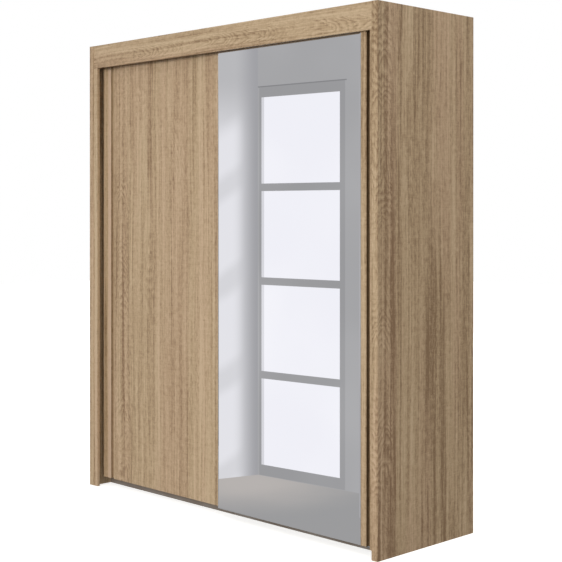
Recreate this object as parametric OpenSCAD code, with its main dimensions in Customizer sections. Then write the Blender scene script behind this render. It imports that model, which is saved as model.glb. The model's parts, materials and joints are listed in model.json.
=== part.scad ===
// Two door sliding wardrobe: side panels that stand proud of the doors, a cornice
// over a two lane hanging track, a timber door behind and a mirror door in front.
// X runs along the front, Y runs from front to back and Z is up.
// The origin is on the floor at the centre of the width and of the depth.

/* [Overall] */
// Width across the two side panels
width = 1800; // [1500:10:2160]
// Height from the floor to the top
height = 2100; // [1750:10:2520]
// Depth from the side panels' front edges to the back
depth = 600; // [500:10:720]

/* [Boards] */
// Thickness of the side panels
side_t = 30; // [22:1:36]
// Thickness of the top and of the base
board_t = 22; // [19:1:28]
// Thickness of the centre partition
partition_t = 16; // [16:1:22]
// Thickness of each shelf
shelf_t = 16; // [16:1:22]
// Thickness of the back panels
back_t = 3; // [3:0.5:4]
// Depth of the grooves that hold the back panels
groove_depth = 8; // [6:1:10]
// Clearance of a back panel in its groove
groove_clear = 0.3; // [0.2:0.1:0.5]

/* [Front frame] */
// Height of the cornice
cornice_h = 107; // [100:1:130]
// Thickness of the cornice
cornice_t = 16; // [14:1:16]
// How far the cornice is set back from the side panels' front edges
cornice_setback = 2; // [1:1:3]
// Width of the right closing strip, and of the space beside the timber door
filler_w = 10; // [8:1:18]
// Depth of the right closing strip, from front to back
filler_d = 26; // [16:1:28]
// Height of the right closing strip's lower end above the floor
filler_z = 36; // [30:1:45]
// Width of the left closing strip, which covers the timber door's outer edge
left_filler_w = 28; // [16:1:34]
// Depth of the left closing strip, in front of the mirror door's lane
left_filler_d = 14; // [12:1:14]
// How far both closing strips are set back
filler_setback = 2; // [1:1:4]
// Height of the plinth
plinth_h = 60; // [55:1:80]
// Thickness of the plinth boards
plinth_t = 16; // [16:1:19]
// Gap between the plinth and the guide rail in front of it
plinth_gap = 1; // [1:1:20]

/* [Doors] */
// Height of the doors' lower edges above the floor
door_z = 39; // [38:1:44]
// How far the doors rise behind the cornice
door_rise = 20; // [16:1:24]
// Gap between a closed door and its closing strip
door_gap = 3; // [2:0.5:5]
// How far the closed doors overlap
door_overlap = 18; // [12:1:40]
// Gap between the two doors, from front to back
lane_gap = 7; // [7:0.5:9]
// How far the mirror is set back from the side panels' front edges
mirror_setback = 20; // [20:1:26]
// Thickness of the mirror glass
mirror_t = 4; // [4:1:5]
// Width of the bevel round the mirror
bevel_w = 6; // [4:1:15]
// Thickness of the mounting tape behind the mirror
tape_t = 1; // [0.5:0.5:2]
// Thickness of the board behind the mirror
mirror_board_t = 16; // [16:1:19]
// Thickness of the timber door
door_t = 18; // [16:1:22]
// Gap between the timber door and the boards behind it
carcase_gap = 20; // [20:1:26]

/* [Handles] */
// Width of the timber door's handle strip
strip_w = 60; // [45:1:72]
// Width of the mirror door's handle strip
mirror_strip_w = 29; // [22:1:40]
// Width of the finger grooves
finger_w = 22; // [18:1:30]
// Thickness that is left behind the finger grooves
finger_floor = 6; // [5:1:8]
// Width of the lip outside the mirror door's finger groove
lip_w = 8; // [6:1:10]
// Radius of the strips' outer front corners
strip_r = 4; // [2:0.5:5]
// Radius of the bead along the timber door's strip
bead_r = 5; // [4:0.5:5.5]
// How far the bead stands proud of the strip
bead_rise = 1.5; // [0.5:0.5:1.5]

/* [Running gear] */
// Height of the top track
track_h = 48; // [46:1:56]
// Wall thickness of the track
track_t = 2; // [1.5:0.5:3]
// Depth of a lane behind the door's back face
lane_d = 15; // [15:0.5:16]
// Radius of the rollers
roller_r = 14; // [12:0.5:15]
// Width of the rollers
roller_w = 7; // [6:0.5:7.5]
// Radius of the track's running ridge
ridge_r = 2; // [1.5:0.5:2.5]
// Radius of the roller axles
axle_r = 2.5; // [2:0.5:3]
// Radial clearance between a roller and its axle
axle_clear = 0.05; // [0.02:0.01:0.1]
// Clearance between a roller and its rail
run_clear = 0.3; // [0.3:0.1:0.5]
// Thickness of the hanger plates
hanger_t = 3; // [2.5:0.5:3]
// Width of the hanger plates
hanger_w = 40; // [36:1:50]
// Play between a closed door's hanger and its buffer
stop_gap = 0.5; // [0.3:0.1:1]

/* [Bottom guide] */
// Inside width of each guide lane
guide_lane = 8; // [7:0.5:9]
// Wall thickness of the guide rail
guide_t = 2; // [1.5:0.5:2]
// Height of the guide rail
guide_h = 14; // [12:1:15]
// Play of a glider in its lane, on each side
glider_play = 1; // [0.6:0.1:1.2]

/* [Inside] */
// Space above the hat shelves
hat_space = 322; // [250:2:400]
// Distance from each adjustable shelf up to the next
shelf_step = 414; // [250:2:440]
// How far the shelves are set back from the partition's front edge
shelf_setback = 12; // [8:1:40]
// Play between a shelf and the boards beside it
shelf_play = 1; // [0.5:0.5:2]
// Radius of the shelf pins
pin_r = 2.5; // [2.5:0.5:3]
// Spacing of the spare pin holes
pin_pitch = 32; // [25:1:40]
// Height of the hanging rail's oval section
rail_h = 30; // [25:1:32]
// Width of the hanging rail's oval section
rail_w = 15; // [12:1:16]
// Distance from the hat shelf down to the hanging rail's centre
rail_drop = 60; // [50:1:90]

/* [Fixings] */
// Radius of the wooden dowels
dowel_r = 4; // [3:0.5:5]
// Radius of the cam locks
cam_r = 7.5; // [6.5:0.5:7.5]
// Radius of the connecting bolts
bolt_r = 3; // [2.5:0.5:3.5]
// Radius of the screws' shanks
screw_r = 2; // [1.5:0.5:2.5]
// Radius of the wall fixing holes
wall_hole_r = 4; // [3:0.5:5]
// Distance between the two wall fixing holes
wall_hole_span = 1200; // [800:50:1300]
// Height of the rear fixing rail
rear_rail_h = 90; // [70:1:110]
// Thickness of the rear fixing rail
rear_rail_t = 16; // [16:1:19]

/* [Hidden] */
$fn = 48;
eps = 0.5;

in_l = -width / 2 + side_t;
in_r = width / 2 - side_t;

// Distances back from the side panels' front edges
cornice_back = cornice_setback + cornice_t;
mirror_board_d = mirror_setback + mirror_t + tape_t;
mirror_back = mirror_board_d + mirror_board_t;
door_face = mirror_back + lane_gap;
door_back = door_face + door_t;
carcase_d = door_back + carcase_gap;
back_d = depth - rear_rail_t - back_t;
shelf_d = carcase_d + shelf_setback;

// Heights
top_z = height - board_t;
cornice_z = height - cornice_h;
door_top = cornice_z + door_rise;
door_h = door_top - door_z;
base_top = plinth_h + board_t;
hat_shelf_z = top_z - hat_space - shelf_t;
rail_z = hat_shelf_z - rail_drop;

// The doors' places along the front
left_limit = in_l + filler_w + door_gap;
right_limit = in_r - filler_w - door_gap;
door_w = (right_limit - left_limit + door_overlap) / 2;
handle_w = strip_w + finger_w;
mirror_handle_w = lip_w + finger_w + mirror_strip_w;
door_l = left_limit;
door_r = left_limit + door_w;
mirror_l = right_limit - door_w;
mirror_r = right_limit;
door_hanger_in = strip_w / 2;
mirror_hanger_in = mirror_handle_w - mirror_strip_w / 2;
door_hangers = [door_l + door_hanger_in, door_r - door_hanger_in];
mirror_hangers = [mirror_l + mirror_hanger_in, mirror_r - mirror_hanger_in];

// Running gear
track_z = top_z - track_h;
lip_t = 2.5;
roller_z = track_z + lip_t + run_clear + roller_r;
roller_off = 0.5;
lip_start = hanger_t + roller_off + 1;
ridge_off = hanger_t + roller_off + roller_w / 2;
track_front = cornice_back + 1;
track_back = door_back + lane_d + track_t;
track_end = 1;
track_screw_count = 7;
track_screw_in = 48;
track_screw_ds = [track_front + 9, door_back - 2];
hanger_top = roller_z + axle_r + 7.5;
hanger_grip = 60;
hanger_screw_u = min(10, mirror_strip_w / 2 - screw_r - 2.5);
hanger_screw_drops = [12, 45];
screw_head_r = screw_r + 2;
screw_head_t = 2;
screw_bite = 11;
axle_head_r = axle_r + 1.5;
axle_head_t = 1.2;
buffer_z = track_z + lip_t + ridge_r + 2;
buffer_h = 18;
buffer_front = 6;

// Bottom guide
guide_z = plinth_h - guide_h;
guide_front = door_back + 5;
lane_pitch = guide_lane + guide_t;
door_lane = guide_front + guide_t + guide_lane / 2;
mirror_lane = door_lane + lane_pitch;
guide_flange = 8;
guide_back = guide_front + 2 * lane_pitch + guide_t + guide_flange;
plinth_setback = guide_back + plinth_gap;
bracket_t = 2;
bracket_w = 30;
glider_w = guide_lane - 2 * glider_play;
glider_h = 8;
glider_gap = 2;
glider_z = plinth_h - guide_t - glider_gap - glider_h;
foot_gap = 3;
door_foot_z = door_z - bracket_t;
mirror_foot_z = door_foot_z - foot_gap - bracket_t;
bracket_top = door_z + 26;
bracket_screw_z = door_z + 17;
bracket_screw_u = 8;
small_screw_r = 1.5;
small_head_r = 2.8;
guide_screw_d = guide_back - guide_flange / 2;

// Base
foot_r = 20;
foot_t = 8;
stud_r = 6;
flange_r = 16;
flange_t = 4;
foot_in = 60;
rear_plinth_in = 40;

// Back
back_top = top_z - rear_rail_h;
back_lap = 12;
joint_strip_t = 2;
nail_count = 8;
nail_r = 0.9;
nail_bite = 15;
nail_head_r = 2;
nail_head_t = 0.8;
nail_in = 60;
wall_hole_z = top_z - rear_rail_h / 2 + 10;

// Front frame
block_d = 12;
block_gap = 4;
bevel_t = 1.5;
tape_count = 5;
tape_w = 20;
tape_in = 40;
brush_w = 6;
brush_in = 3;
brush_gap = 0.5;

// Inside
shelf_zs = [for (i = [1:3]) base_top + i * shelf_step];
shelf_in = partition_t / 2 + shelf_play;
pin_len = partition_t / 2 - 1;
pin_out = 8;
spare_pins = 1;
pin_ds = [shelf_d + 40, back_d - 60];
cam_ds = [carcase_d + 70, back_d - 90];
cam_off = 34;
cam_h = board_t / 2 + bolt_r + 1.5;
bolt_bite = 12;
bolt_len = bolt_bite + cam_off - cam_r + 4;
dowel_len = 30;
dowel_bite = 10;
dowel_ds = [carcase_d + 120, back_d - 140];
cornice_dowel_xs = [for (i = [-2:2]) i * width / 5];
rail_d = (carcase_d + back_d) / 2;
rail_wall = 1.2;
rail_clear = 0.2;
socket_t = 3;
socket_rim = 6;
socket_cup = 12;
socket_wall = 2;

oak = [0.70, 0.60, 0.49];
oak_shade = [0.62, 0.52, 0.42];
inner_oak = [0.74, 0.65, 0.54];
grey_brown = [0.47, 0.42, 0.38];
steel = [0.62, 0.63, 0.65];
alu = [0.66, 0.66, 0.67];
dark_plastic = [0.16, 0.15, 0.14];
white_plastic = [0.86, 0.86, 0.84];

function fy(d) = -depth / 2 + d;
function spread(i, n, a, b) = a + (b - a) * i / (n - 1);

// A board between two places along the front, two distances back and two heights
module board(x0, x1, d0, d1, z0, z1) {
    translate([x0, fy(d0), z0]) cube([x1 - x0, d1 - d0, z1 - z0]);
}

// A round bar along X, along Y or along Z from a start point
module bar_x(x, d, z, r, len) {
    translate([x, fy(d), z]) rotate([0, 90, 0]) cylinder(r = r, h = len);
}

module bar_y(x, d, z, r, len) {
    translate([x, fy(d), z]) rotate([-90, 0, 0]) cylinder(r = r, h = len);
}

module bar_z(x, d, z, r, len) {
    translate([x, fy(d), z]) cylinder(r = r, h = len);
}

// A section drawn as distance back and height, run along the front from x0 to x1
module run_x(x0, x1) {
    translate([x0, -depth / 2, 0]) rotate([90, 0, 90]) linear_extrude(height = x1 - x0) children();
}

// A bar section whose two front corners are rounded
module rounded_bar(w, t, r) {
    translate([r, 0]) square([w - 2 * r, t]);
    translate([0, r]) square([w, t - r]);
    for (u = [r, w - r]) translate([u, r]) circle(r = r);
}

// Fixings

module cam_bolts() {
    for (d = cam_ds, z = [top_z + board_t / 2, plinth_h + board_t / 2]) {
        bar_x(in_l - bolt_bite, d, z, bolt_r, bolt_len);
        bar_x(in_r + bolt_bite - bolt_len, d, z, bolt_r, bolt_len);
    }
}

module cams() {
    for (d = cam_ds, x = [in_l + cam_off, in_r - cam_off], z = [top_z, plinth_h])
        bar_z(x, d, z, cam_r, cam_h);
}

module centre_dowels() {
    for (d = dowel_ds, z = [top_z, base_top])
        bar_z(0, d, z - dowel_len / 2, dowel_r, dowel_len);
}

module front_dowels() {
    for (x = cornice_dowel_xs)
        bar_y(x, cornice_back - dowel_bite, top_z + board_t / 2, dowel_r, dowel_len);
}

// Pins in the side panel and the partition, with spare holes above and below
module pins_at(z, x0, x1, out, spare) {
    for (d = pin_ds, k = [-spare:spare]) {
        bar_x(x0 - pin_len, d, z - pin_r + k * pin_pitch, pin_r, pin_len + out);
        bar_x(x1 - out, d, z - pin_r + k * pin_pitch, pin_r, pin_len + out);
    }
}

module all_pins(out, spare) {
    half = partition_t / 2;
    pins_at(hat_shelf_z, in_l, -half, out, 0);
    pins_at(hat_shelf_z, half, in_r, out, 0);
    for (z = shelf_zs) pins_at(z, half, in_r, out, spare);
}

// The round pockets that the pins sit in, and the spare ones
module pin_holes() {
    all_pins(eps, spare_pins);
}

// Carcase boards

module side_panel(x0, x1) {
    difference() {
        board(x0, x1, 0, depth, 0, height);
        board(in_l - groove_depth, in_r + groove_depth, back_d, back_d + back_t + groove_clear,
            plinth_h, top_z);
        cam_bolts();
        pin_holes();
    }
}

module left_side_panel() {
    color(oak_shade) side_panel(-width / 2, in_l);
}

module right_side_panel() {
    color(oak_shade) side_panel(in_r, width / 2);
}

module top_panel() {
    color(inner_oak) difference() {
        board(in_l, in_r, cornice_back, depth, top_z, height);
        cam_bolts();
        cams();
        centre_dowels();
        front_dowels();
        track_screws_solid();
    }
}

module base_panel() {
    color(inner_oak) difference() {
        board(in_l, in_r, carcase_d, back_d, plinth_h, base_top);
        cam_bolts();
        cams();
        centre_dowels();
        guide_screws_solid();
    }
}

module centre_partition() {
    half = partition_t / 2;
    color(inner_oak) difference() {
        board(-half, half, carcase_d, back_d, base_top, top_z);
        centre_dowels();
        pin_holes();
        back_nails_solid();
    }
}

module back_panel(x0, x1) {
    color(inner_oak) difference() {
        board(x0, x1, back_d, back_d + back_t, plinth_h, back_top + back_lap);
        back_nails_solid();
    }
}

module back_panel_left() {
    back_panel(in_l - groove_depth + groove_clear, -groove_clear);
}

module back_panel_right() {
    back_panel(groove_clear, in_r + groove_depth - groove_clear);
}

module back_joint_strip() {
    color(inner_oak) difference() {
        board(-partition_t, partition_t, back_d + back_t, back_d + back_t + joint_strip_t,
            plinth_h, back_top);
        back_nails_solid();
    }
}

// Nails through the joint strip and both back panels into the partition
module back_nails_solid() {
    face = back_d + back_t + joint_strip_t;
    for (i = [0:nail_count - 1], x = [-partition_t / 4, partition_t / 4]) {
        z = spread(i, nail_count, base_top + nail_in, back_top - nail_in);
        bar_y(x, back_d - nail_bite, z, nail_r, face - back_d + nail_bite);
        bar_y(x, face, z, nail_head_r, nail_head_t);
    }
}

module back_nails() {
    color(steel) back_nails_solid();
}

module rear_fixing_rail() {
    color(inner_oak) difference() {
        board(in_l, in_r, depth - rear_rail_t, depth, back_top, top_z);
        for (x = [-wall_hole_span / 2, wall_hole_span / 2])
            bar_y(x, depth - rear_rail_t - eps, wall_hole_z, wall_hole_r, rear_rail_t + 2 * eps);
    }
}

// Base

module plinth_front() {
    color(grey_brown) board(in_l, in_r, plinth_setback, plinth_setback + plinth_t, 0, plinth_h);
}

module plinth_rear() {
    back = back_d - rear_plinth_in;
    color(grey_brown) board(in_l, in_r, back - plinth_t, back, 0, plinth_h);
}

// Screw feet below the partition: a pad on the floor, a stud and a flange
module levelling_feet() {
    front = plinth_setback + plinth_t + foot_in;
    back = back_d - rear_plinth_in - plinth_t - foot_in;
    color(dark_plastic) for (d = [front, back]) {
        bar_z(0, d, 0, foot_r, foot_t);
        bar_z(0, d, foot_t, stud_r, plinth_h - foot_t - flange_t);
        bar_z(0, d, plinth_h - flange_t, flange_r, flange_t);
    }
}

// Front frame

module cornice() {
    color(oak) difference() {
        board(in_l, in_r, cornice_setback, cornice_back, cornice_z, height);
        front_dowels();
    }
}

module cornice_dowels() {
    color(inner_oak) front_dowels();
}

// Plastic corner blocks that tie the cornice to the side panels
module cornice_blocks() {
    color(white_plastic) for (x = [in_l, in_r - filler_w])
        board(x, x + filler_w, cornice_back, cornice_back + block_d,
            cornice_z + block_gap, track_z - block_gap);
}

module left_closing_strip() {
    color(oak) board(in_l, in_l + left_filler_w, filler_setback,
        filler_setback + left_filler_d, 0, cornice_z);
}

module right_closing_strip() {
    color(oak) board(in_r - filler_w, in_r, filler_setback, filler_setback + filler_d,
        filler_z, cornice_z);
}

// Top track: one extrusion with a front wall and two lanes, each a wall with a lip
// and a round running ridge
module lane_section(back) {
    wall = back + lane_d;
    translate([wall, track_z]) square([track_t, track_h]);
    translate([back + lip_start, track_z]) square([lane_d - lip_start + eps, lip_t]);
    translate([back + ridge_off, track_z + lip_t]) circle(r = ridge_r);
}

module track_section() {
    translate([track_front, top_z - track_t]) square([track_back - track_front, track_t]);
    translate([track_front, track_z]) square([track_t, track_h]);
    difference() {
        union() {
            lane_section(mirror_back);
            lane_section(door_back);
        }
        translate([0, track_z - 2 * ridge_r]) square([depth, 2 * ridge_r]);
    }
}

function track_screw_x(i) =
    spread(i, track_screw_count, in_l + track_screw_in, in_r - 1.5 * track_screw_in);

module track_screws_solid() {
    for (i = [0:track_screw_count - 1], d = track_screw_ds) {
        x = track_screw_x(i);
        bar_z(x, d, top_z - track_t, screw_r, track_t + screw_bite);
        bar_z(x, d, top_z - track_t - screw_head_t, screw_head_r, screw_head_t);
    }
}

module top_track() {
    color(alu) difference() {
        run_x(in_l + track_end, in_r - track_end) track_section();
        track_screws_solid();
    }
}

module track_screws() {
    color(steel) track_screws_solid();
}

// Rubber buffers at both ends of each lane stop the hangers
module track_buffers() {
    color(dark_plastic) {
        lane_buffers(mirror_back, mirror_hanger_in);
        lane_buffers(door_back, door_hanger_in);
    }
}

module lane_buffers(back, hanger_in) {
    reach = filler_w + door_gap + hanger_in - hanger_w / 2 - track_end - stop_gap;
    for (x = [in_l + track_end, in_r - track_end - reach])
        board(x, x + reach, back - buffer_front, back + lane_d, buffer_z, buffer_z + buffer_h);
}

// Bottom guide rail: two lanes that open downwards, below the base panel's front edge
module bottom_guide_rail() {
    color(alu) difference() {
        run_x(in_l + track_end, in_r - track_end) {
            translate([guide_front, plinth_h - guide_t]) square([guide_back - guide_front, guide_t]);
            for (i = [0:2])
                translate([guide_front + i * lane_pitch, guide_z]) square([guide_t, guide_h]);
        }
        guide_screws_solid();
    }
}

module guide_screws_solid() {
    for (i = [0:track_screw_count - 1]) {
        x = track_screw_x(i);
        z = plinth_h - guide_t;
        bar_z(x, guide_screw_d, z, small_screw_r, guide_t + screw_bite);
        bar_z(x, guide_screw_d, z - screw_head_t, small_head_r, screw_head_t);
    }
}

module guide_rail_screws() {
    color(steel) guide_screws_solid();
}

// Inside

module hat_shelf_left() {
    color(inner_oak) board(in_l + shelf_play, -shelf_in, shelf_d, back_d - shelf_play,
        hat_shelf_z, hat_shelf_z + shelf_t);
}

module right_shelf(z) {
    color(inner_oak) board(shelf_in, in_r - shelf_play, shelf_d, back_d - shelf_play,
        z, z + shelf_t);
}

module hat_shelf_right() {
    right_shelf(hat_shelf_z);
}

module shelf_1() {
    right_shelf(shelf_zs[0]);
}

module shelf_2() {
    right_shelf(shelf_zs[1]);
}

module shelf_3() {
    right_shelf(shelf_zs[2]);
}

module shelf_pins() {
    color(steel) all_pins(pin_out, 0);
}

// Oval tube section as distance back and height, grown by an amount all round
module rail_section(grow) {
    r = rail_w / 2;
    reach = rail_h / 2 - r;
    translate([rail_d - r - grow, rail_z - reach]) square([rail_w + 2 * grow, 2 * reach]);
    for (s = [-1, 1]) translate([rail_d, rail_z + s * reach]) circle(r = r + grow);
}

module hanging_rail() {
    gap = socket_t + rail_clear;
    color(steel) run_x(in_l + gap, -partition_t / 2 - gap) difference() {
        rail_section(0);
        rail_section(-rail_wall);
    }
}

module rail_sockets() {
    color(steel) for (x = [in_l, -partition_t / 2 - socket_t])
        run_x(x, x + socket_t) rail_section(socket_rim);
    color(steel) for (x = [in_l + socket_t, -partition_t / 2 - socket_t - socket_cup])
        run_x(x, x + socket_cup) difference() {
            rail_section(socket_wall + rail_clear);
            rail_section(rail_clear);
        }
}

module cam_locks() {
    color(steel) difference() {
        cams();
        cam_bolts();
    }
}

module connecting_bolts() {
    color(steel) cam_bolts();
}

module partition_dowels() {
    color(inner_oak) centre_dowels();
}

// Running gear shared by both doors

// A plate screwed to a door's back that reaches up through the lane's slot
module hanger(x, back) {
    color(steel) difference() {
        board(x - hanger_w / 2, x + hanger_w / 2, back, back + hanger_t,
            door_top - hanger_grip, hanger_top);
        hanger_screws_at(x, back);
        bar_y(x, back - eps, roller_z, axle_r, hanger_t + 2 * eps);
    }
}

module hanger_screws_at(x, back) {
    for (u = [-hanger_screw_u, hanger_screw_u], h = hanger_screw_drops) {
        bar_y(x + u, back - screw_bite, door_top - h, screw_r, screw_bite + hanger_t);
        bar_y(x + u, back + hanger_t, door_top - h, screw_head_r, screw_head_t);
    }
}

module axle_at(x, back) {
    reach = hanger_t + roller_off + roller_w + roller_off;
    bar_y(x, back, roller_z, axle_r, reach);
    bar_y(x, back + reach, roller_z, axle_head_r, axle_head_t);
}

// A grooved roller that rides over the lane's ridge
module roller(x, back) {
    color(white_plastic) translate([x, fy(back + hanger_t + roller_off), roller_z])
        rotate([-90, 0, 0]) rotate_extrude() difference() {
            translate([axle_r + axle_clear, 0])
                square([roller_r - axle_r - axle_clear, roller_w]);
            translate([roller_r + run_clear, roller_w / 2]) circle(r = ridge_r + run_clear);
        }
}

// A bent plate: a leg on the door's back, a foot, and an upright in the guide lane
module guide_bracket(x, back, foot_z, lane) {
    x0 = x - bracket_w / 2;
    x1 = x + bracket_w / 2;
    difference() {
        board(x0, x1, back, back + bracket_t, foot_z, bracket_top);
        bracket_screws_at(x, back);
    }
    board(x0, x1, back, lane + bracket_t / 2, foot_z, foot_z + bracket_t);
    board(x0, x1, lane - bracket_t / 2, lane + bracket_t / 2, foot_z, glider_z);
}

module bracket_screws_at(x, back) {
    for (u = [-bracket_screw_u, bracket_screw_u]) {
        bar_y(x + u, back - screw_bite, bracket_screw_z, small_screw_r, screw_bite + bracket_t);
        bar_y(x + u, back + bracket_t, bracket_screw_z, small_head_r, screw_head_t);
    }
}

// Every screw in one door, for its hangers and its guide brackets
module door_screws_at(xs, back) {
    for (x = xs) {
        hanger_screws_at(x, back);
        bracket_screws_at(x, back);
    }
}

module glider(x, lane) {
    board(x - bracket_w / 2, x + bracket_w / 2, lane - glider_w / 2, lane + glider_w / 2,
        glider_z, glider_z + glider_h);
}

// Timber door

module door_section() {
    rounded_bar(strip_w, door_t, strip_r);
    translate([strip_w - bead_r, bead_r - bead_rise]) circle(r = bead_r);
    translate([0, door_t - finger_floor]) square([handle_w, finger_floor]);
}

module door_handle_strip() {
    color(oak) difference() {
        translate([door_l, fy(door_face), door_z]) linear_extrude(height = door_h) door_section();
        door_screws_at(door_hangers, door_back);
    }
}

module door_panel() {
    color(oak) difference() {
        board(door_l + handle_w, door_r, door_face, door_back, door_z, door_top);
        door_screws_at(door_hangers, door_back);
    }
}

module door_hanger_left() {
    hanger(door_hangers[0], door_back);
}

module door_hanger_right() {
    hanger(door_hangers[1], door_back);
}

module door_screws() {
    color(steel) door_screws_at(door_hangers, door_back);
}

module door_axles() {
    color(steel) for (x = door_hangers) axle_at(x, door_back);
}

module door_roller_left() {
    roller(door_hangers[0], door_back);
}

module door_roller_right() {
    roller(door_hangers[1], door_back);
}

module door_guide_brackets() {
    color(steel) for (x = door_hangers) guide_bracket(x, door_back, door_foot_z, door_lane);
}

module door_gliders() {
    color(dark_plastic) for (x = door_hangers) glider(x, door_lane);
}

// Mirror door

module mirror_section() {
    rounded_bar(mirror_strip_w, mirror_back - mirror_setback, strip_r);
    floor_y = mirror_back - mirror_setback - finger_floor;
    translate([0, floor_y]) square([mirror_handle_w, finger_floor]);
    translate([mirror_strip_w + finger_w, strip_r])
        square([lip_w, mirror_back - mirror_setback - strip_r]);
}

module mirror_handle_strip() {
    color(oak) difference() {
        translate([mirror_r - mirror_handle_w, fy(mirror_setback), door_z])
            linear_extrude(height = door_h) mirror_section();
        door_screws_at(mirror_hangers, mirror_back);
    }
}

module mirror_board() {
    color(oak) difference() {
        board(mirror_l, mirror_r - mirror_handle_w, mirror_board_d, mirror_back, door_z, door_top);
        door_screws_at(mirror_hangers, mirror_back);
    }
}

// Section of a bevelled sheet: its span lies along the first axis
module bevelled(span) {
    polygon([
        [0, mirror_t], [span, mirror_t], [span, bevel_t],
        [span - bevel_w, 0], [bevel_w, 0], [0, bevel_t]
    ]);
}

module mirror_glass() {
    w = door_w - mirror_handle_w;
    h = cornice_z - 1 - door_z;
    color([0.80, 0.83, 0.85]) translate([mirror_l, fy(mirror_setback), door_z]) intersection() {
        linear_extrude(height = h) bevelled(w);
        translate([w, 0, 0]) rotate([0, -90, 0]) linear_extrude(height = w) bevelled(h);
    }
}

// Strips of mounting tape between the glass and the board
module mirror_tape() {
    last = mirror_r - mirror_handle_w - tape_in - tape_w;
    color(dark_plastic) for (i = [0:tape_count - 1]) {
        x = spread(i, tape_count, mirror_l + tape_in, last);
        board(x, x + tape_w, mirror_board_d - tape_t, mirror_board_d,
            door_z + tape_in, cornice_z - tape_in);
    }
}

module mirror_hanger_left() {
    hanger(mirror_hangers[0], mirror_back);
}

module mirror_hanger_right() {
    hanger(mirror_hangers[1], mirror_back);
}

module mirror_screws() {
    color(steel) door_screws_at(mirror_hangers, mirror_back);
}

module mirror_axles() {
    color(steel) for (x = mirror_hangers) axle_at(x, mirror_back);
}

module mirror_roller_left() {
    roller(mirror_hangers[0], mirror_back);
}

module mirror_roller_right() {
    roller(mirror_hangers[1], mirror_back);
}

module mirror_guide_brackets() {
    color(steel) for (x = mirror_hangers)
        guide_bracket(x, mirror_back, mirror_foot_z, mirror_lane);
}

module mirror_gliders() {
    color(dark_plastic) for (x = mirror_hangers) glider(x, mirror_lane);
}

// Pile seal along the mirror door's inner edge closes the gap between the doors
module mirror_brush_seal() {
    x = mirror_l + brush_in;
    color(dark_plastic) board(x, x + brush_w, mirror_back,
        mirror_back + lane_gap - bead_rise - brush_gap, bracket_top, door_top - hanger_grip);
}

left_side_panel();
right_side_panel();
top_panel();
base_panel();
centre_partition();
back_panel_left();
back_panel_right();
back_joint_strip();
rear_fixing_rail();
plinth_front();
plinth_rear();
levelling_feet();
cornice();
cornice_dowels();
cornice_blocks();
left_closing_strip();
right_closing_strip();
top_track();
track_screws();
track_buffers();
bottom_guide_rail();
guide_rail_screws();
hat_shelf_left();
hat_shelf_right();
shelf_1();
shelf_2();
shelf_3();
shelf_pins();
hanging_rail();
rail_sockets();
cam_locks();
connecting_bolts();
partition_dowels();
back_nails();
door_panel();
door_handle_strip();
door_hanger_left();
door_hanger_right();
door_screws();
door_axles();
door_roller_left();
door_roller_right();
door_guide_brackets();
door_gliders();
mirror_board();
mirror_glass();
mirror_tape();
mirror_handle_strip();
mirror_hanger_left();
mirror_hanger_right();
mirror_screws();
mirror_axles();
mirror_roller_left();
mirror_roller_right();
mirror_guide_brackets();
mirror_gliders();
mirror_brush_seal();
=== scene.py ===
import json
import math

import bmesh
import bpy
from bpy.props import FloatProperty, FloatVectorProperty, PointerProperty
from mathutils import Matrix, Vector


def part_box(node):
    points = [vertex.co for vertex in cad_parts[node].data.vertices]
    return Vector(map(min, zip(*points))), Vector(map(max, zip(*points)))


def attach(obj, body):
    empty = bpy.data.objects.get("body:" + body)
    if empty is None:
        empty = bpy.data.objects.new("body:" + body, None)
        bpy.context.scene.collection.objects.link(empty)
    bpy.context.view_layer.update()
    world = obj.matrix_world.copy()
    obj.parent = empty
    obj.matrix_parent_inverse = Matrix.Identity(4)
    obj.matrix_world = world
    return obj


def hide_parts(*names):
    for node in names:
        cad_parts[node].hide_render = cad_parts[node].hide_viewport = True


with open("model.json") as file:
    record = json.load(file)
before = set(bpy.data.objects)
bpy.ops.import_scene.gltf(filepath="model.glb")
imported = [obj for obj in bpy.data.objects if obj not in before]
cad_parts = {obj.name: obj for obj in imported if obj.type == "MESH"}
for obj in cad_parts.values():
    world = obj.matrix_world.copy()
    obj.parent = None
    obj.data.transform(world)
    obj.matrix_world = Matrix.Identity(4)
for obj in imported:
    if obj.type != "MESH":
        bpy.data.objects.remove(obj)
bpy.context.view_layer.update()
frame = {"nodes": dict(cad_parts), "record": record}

bl_info = {
    "name": "Sliding Door Wardrobe",
    "version": (1, 0, 0),
    "blender": (4, 5, 0),
    "location": "View3D > Sidebar > Wardrobe",
    "description": "Finishes, small fittings and a studio for a wardrobe with two sliding doors",
    "category": "Object",
}

NODES = frame["nodes"]
BODIES = {n: body for body, names in frame["record"]["behaviour"]["bodies"].items() for n in names}
SLOTS = {part["node"]: part["material_slot"] for part in frame["record"]["subparts"]}

# The corner of the mirrored room beside its window, and how far the window wall comes forward
# for each metre to the right
ROOM_CORNER = (0.066, -0.04)
ROOM_SLANT = 0.857

# Thicknesses that the part gives its small fixings, in metres
SCREW_HEAD = 0.002
NAIL_HEAD = 0.0008
SOCKET_PLATE = 0.003


def times(shade, by):
    """A colour made lighter or darker, and kept within 1."""
    return tuple(min(1, c * by) for c in shade)


def tone(red, green, blue):
    """A colour given in 8 bit display values, as linear light."""
    parts = [c / 255 for c in (red, green, blue)]
    return tuple(c / 12.92 if c <= 0.04045 else ((c + 0.055) / 1.055) ** 2.4 for c in parts)


# Settings that a user would change


def colour(name, text, default):
    return FloatVectorProperty(
        name=name, description=text, default=default, subtype="COLOR", size=3, min=0, max=1
    )


def length(name, text, default):
    return FloatProperty(name=name, description=text, default=default, min=0, unit="LENGTH")


def watts(name, text, default):
    return FloatProperty(name=name, description=text, default=default, unit="POWER")


def amount(name, text, default):
    return FloatProperty(name=name, description=text, default=default, min=0)


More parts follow.
